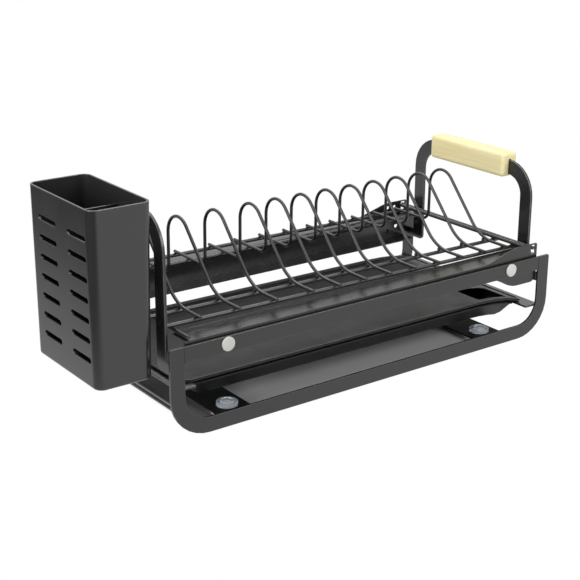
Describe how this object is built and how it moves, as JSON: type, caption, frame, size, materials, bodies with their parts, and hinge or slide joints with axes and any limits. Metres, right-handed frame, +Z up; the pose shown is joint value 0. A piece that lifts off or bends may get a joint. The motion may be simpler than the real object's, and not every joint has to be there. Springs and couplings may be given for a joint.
{
  "type": "expandable dish drainer",
  "caption": "Expandable dish drainer: flat-bar frame, telescoping rails, hooped wire plate rack, sliding drip drawer and hanging cutlery holder.",
  "frame": {"origin": "middle of the bounding box on the level the drainer stands on", "axes": "+X along the drainer towards the handle that pulls out, +Y from front to back, +Z up"},
  "size_m": [0.535, 0.2258, 0.2201],
  "materials": {
    "coated_steel": "satin dark grey coating",
    "black_plastic": "matte black",
    "clear_rubber": "translucent, slightly blue",
    "white_cap": "smooth warm white",
    "pale_wood": "sanded pale wood",
    "grey_plastic": "satin dark grey"
  },
  "bodies": {
    "base": {"side_frame_front": "coated_steel", "side_frame_rear": "coated_steel", "track_front": "coated_steel", "track_rear": "coated_steel", "track_ledge_front": "coated_steel", "track_ledge_rear": "coated_steel", "runner_left": "coated_steel", "runner_right": "coated_steel", "bottom_rod": "coated_steel", "foot_bar_left": "black_plastic", "foot_bar_right": "black_plastic", "suction_foot_front_left": "clear_rubber", "suction_foot_front_right": "clear_rubber", "suction_foot_rear_left": "clear_rubber", "suction_foot_rear_right": "clear_rubber", "cap_front_left": "white_cap", "cap_front_right": "white_cap", "cap_rear_left": "white_cap", "cap_rear_right": "white_cap", "handle_left": "coated_steel"},
    "extension": {"slide_rail_front": "coated_steel", "slide_rail_rear": "coated_steel", "handle_right": "coated_steel", "grip": "pale_wood", "end_wire": "coated_steel", "lock_wire": "coated_steel", "stop_wire": "coated_steel", "long_wire_1": "coated_steel", "long_wire_2": "coated_steel", "long_wire_3": "coated_steel", "long_wire_4": "coated_steel", "hoop_01": "coated_steel", "hoop_02": "coated_steel", "hoop_03": "coated_steel", "hoop_04": "coated_steel", "hoop_05": "coated_steel", "hoop_06": "coated_steel", "hoop_07": "coated_steel", "hoop_08": "coated_steel", "hoop_09": "coated_steel", "hoop_10": "coated_steel", "hoop_11": "coated_steel", "hoop_12": "coated_steel"},
    "drawer": {"drip_tray": "coated_steel", "water_pan": "coated_steel"},
    "holder": {"cutlery_holder": "grey_plastic", "holder_divider": "grey_plastic"}
  },
  "joints": [
    {"name": "extension_slide", "type": "slide", "parent": "base", "child": "extension", "axis": [1, 0, 0], "range_m": [0, 0.1]},
    {"name": "drawer_slide", "type": "slide", "parent": "base", "child": "drawer", "axis": [0, -1, 0], "range_m": [0, 0.16]},
    {"name": "holder_lift", "type": "slide", "parent": "base", "child": "holder", "axis": [0, 0, 1], "range_m": [0, 0.06]}
  ]
}
